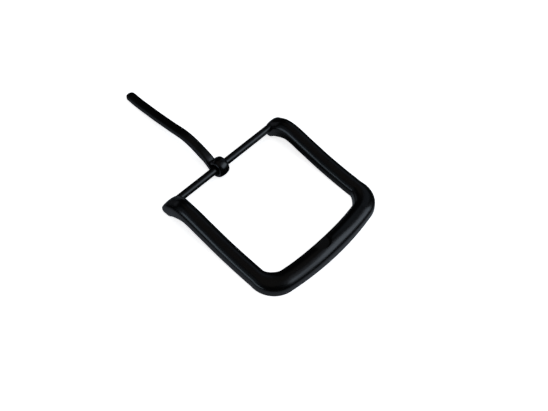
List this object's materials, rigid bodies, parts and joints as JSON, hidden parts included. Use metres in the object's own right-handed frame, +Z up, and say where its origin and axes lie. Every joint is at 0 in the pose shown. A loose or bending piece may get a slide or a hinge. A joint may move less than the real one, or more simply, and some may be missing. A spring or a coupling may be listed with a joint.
{
  "type": "belt buckle",
  "caption": "Matt black single-prong belt buckle: bowed frame with lugs, a round bar between them, and a bent prong that swings and slides on the bar.",
  "frame": {"origin": "middle of the base of the bounding box of the opened buckle, on the face it rests on", "axes": "+X along the bar, +Y from the front bar towards the bar and the opened prong, +Z up through the domed face"},
  "size_m": [0.052, 0.0904, 0.0076],
  "materials": {
    "frame_coat": "matt black coating on a zinc alloy casting",
    "bar_coat": "satin black coating on drawn steel",
    "prong_coat": "matt black coating on forged steel"
  },
  "bodies": {
    "casting": {"frame": "frame_coat"},
    "pin": {"bar": "bar_coat"},
    "tongue": {"prong": "prong_coat"}
  },
  "joints": [
    {"name": "prong_swing", "type": "hinge", "parent": "casting", "child": "pin", "pos_m": [0, 0.00134, 0.0033], "axis": [1, 0, 0], "range_deg": [-170, 179.1]},
    {"name": "prong_slide", "type": "slide", "parent": "pin", "child": "tongue", "axis": [1, 0, 0], "range_m": [-0.0141, 0.0203]}
  ]
}
